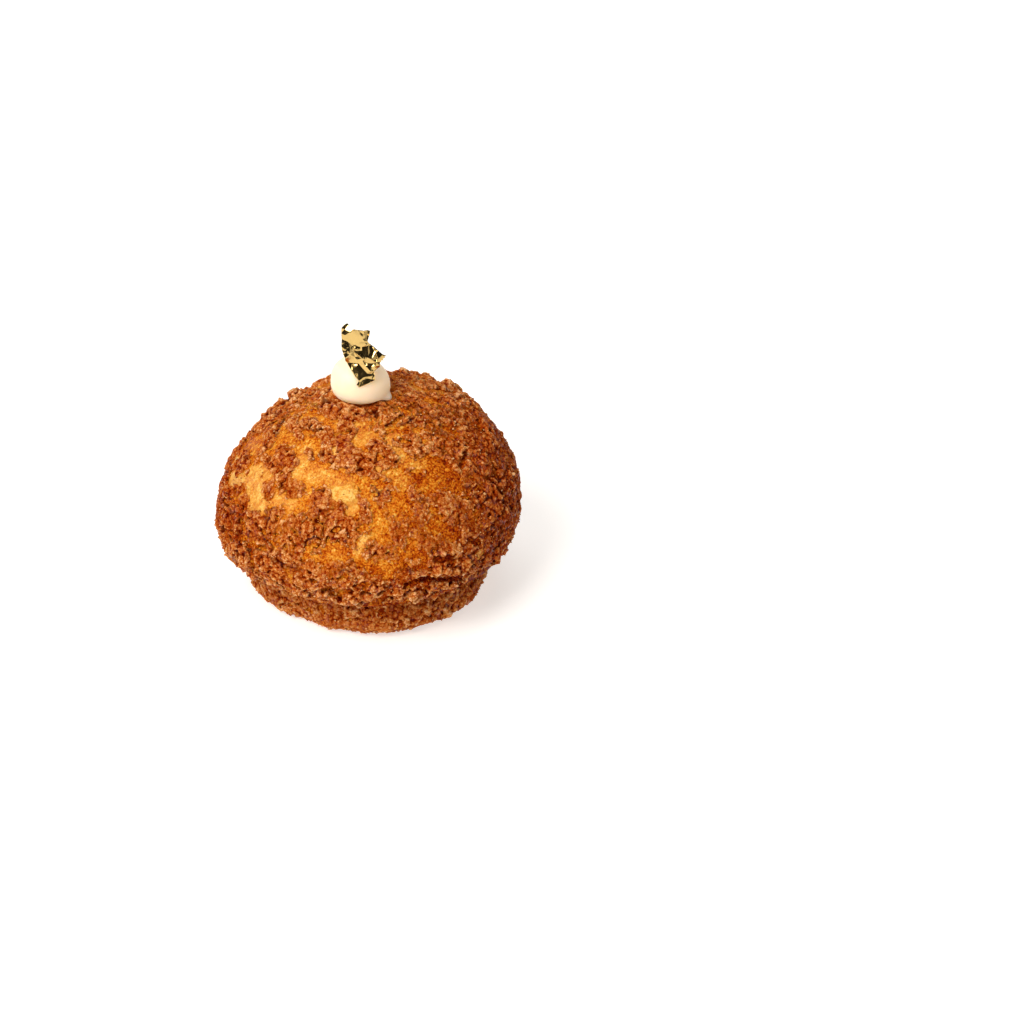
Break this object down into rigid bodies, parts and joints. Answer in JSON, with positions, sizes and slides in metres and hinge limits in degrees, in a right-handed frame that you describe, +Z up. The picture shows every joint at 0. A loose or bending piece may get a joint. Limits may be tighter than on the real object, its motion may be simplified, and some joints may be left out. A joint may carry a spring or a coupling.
{
  "type": "cream puff with craquelin crust",
  "caption": "Whole round choux bun with a crackled, crumbly craquelin crust, a small dollop of cream on its crown and a crumpled gold leaf standing in the cream.",
  "frame": {"origin": "middle of the foot's flat underside, where the puff stands", "axes": "+Z up through the crown, -Y towards the diner, +X to the right and the side that the crown leans to"},
  "size_m": [0.0779, 0.0772, 0.075],
  "materials": {
    "baked_crust": "golden brown baked choux skin under a rough, sandy, red-brown craquelin crust",
    "cream": "smooth ivory cream with a soft wet sheen",
    "gold_leaf": "crumpled edible gold leaf, mirror bright in its facets"
  },
  "bodies": {
    "root": {"choux_puff": "baked_crust", "cream_dollop": "cream", "gold_leaf": "gold_leaf"}
  },
  "joints": []
}
